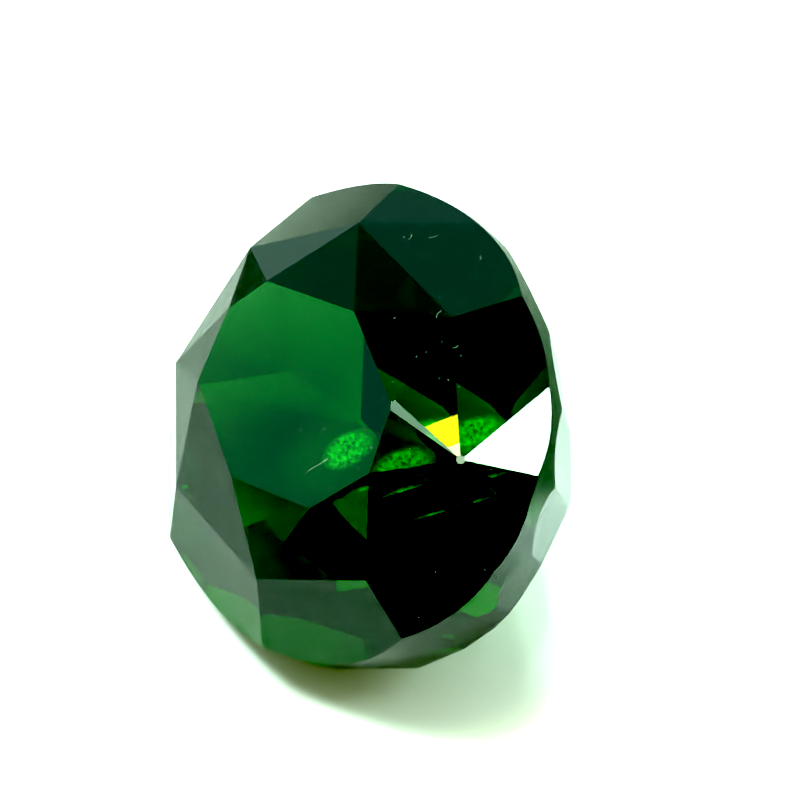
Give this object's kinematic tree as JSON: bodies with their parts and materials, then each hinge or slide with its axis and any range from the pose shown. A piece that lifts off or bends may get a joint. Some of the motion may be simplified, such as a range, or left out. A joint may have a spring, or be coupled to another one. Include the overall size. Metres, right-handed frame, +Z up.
{
  "type": "faceted garnet",
  "caption": "Loose oval gemstone with a flat table, two rows of flat crown facets, a thin girdle and a pointed underside, lying on one lower facet.",
  "frame": {"origin": "middle of the stone's box in plan, on the surface it lies on", "axes": "+Z up, the resting facet faces -Z; the stone leans towards -X and -Y, and its long axis is level, 23 degrees from +Y towards -X"},
  "size_m": [0.006, 0.0074, 0.0051],
  "materials": {
    "garnet": "lapped and polished flat facets, see-through deep green crystal, sharp edges"
  },
  "bodies": {
    "root": {"garnet": "garnet"}
  },
  "joints": []
}
